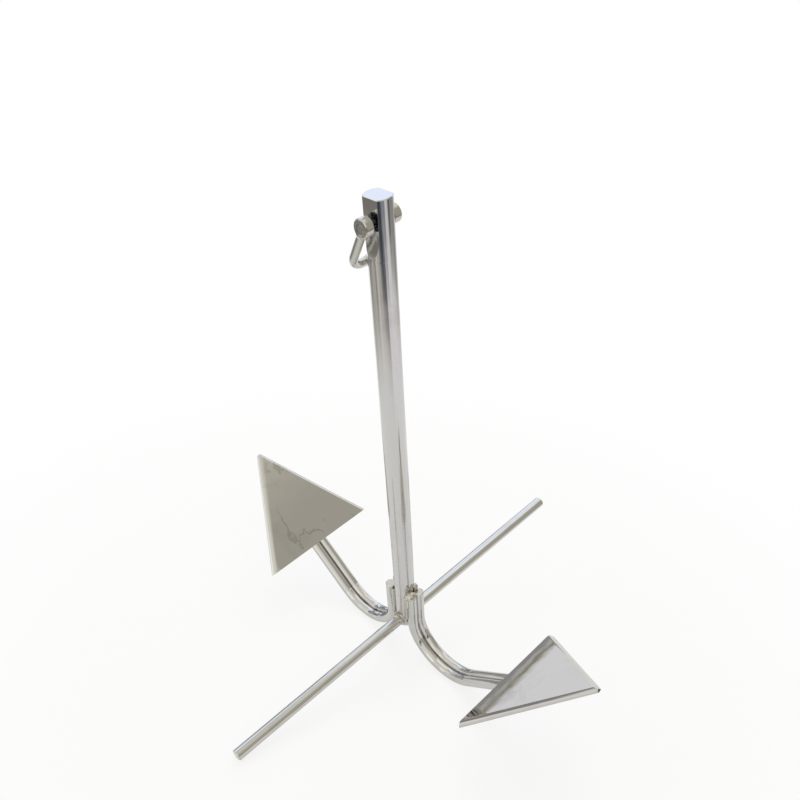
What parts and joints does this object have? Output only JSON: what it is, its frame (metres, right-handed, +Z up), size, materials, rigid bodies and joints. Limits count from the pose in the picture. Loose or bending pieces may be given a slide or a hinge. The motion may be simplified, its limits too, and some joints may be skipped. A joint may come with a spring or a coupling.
{
  "type": "fisherman anchor",
  "caption": "Small welded stainless anchor: round shank with a shackle, a straight stock, and twin-rod arms ending in triangular flukes.",
  "frame": {"origin": "on the ground, straight below the point where the stock's axis crosses the shank's", "axes": "+Z up, +X towards the near arm's fluke, +Y along the stock towards its raised end; the shank leans from +Z towards -Y"},
  "size_m": [0.7046, 0.6976, 0.7437],
  "materials": {
    "polished_bar": "mirror polished stainless bar",
    "polished_plate": "mirror polished stainless plate",
    "polished_forging": "tumbled and polished stainless forging",
    "ground_pin": "ground stainless pin",
    "weld_bead": "polished weld metal, slightly straw coloured"
  },
  "bodies": {
    "anchor": {"shank": "polished_bar", "stock": "polished_bar", "stock_weld": "weld_bead", "near_arm_front_rod": "polished_bar", "near_arm_back_rod": "polished_bar", "near_fluke": "polished_plate", "near_arm_weld": "weld_bead", "near_fluke_weld": "weld_bead", "far_arm_front_rod": "polished_bar", "far_arm_back_rod": "polished_bar", "far_fluke": "polished_plate", "far_arm_weld": "weld_bead", "far_fluke_weld": "weld_bead"},
    "shackle": {"shackle_bow": "polished_forging", "shackle_pin": "ground_pin"}
  },
  "joints": [
    {"name": "shackle_swing", "type": "hinge", "parent": "anchor", "child": "shackle", "pos_m": [0, -0.11646, 0.71601], "axis": [0, 0.9841, 0.1778], "range_deg": [0, 304.6]}
  ]
}
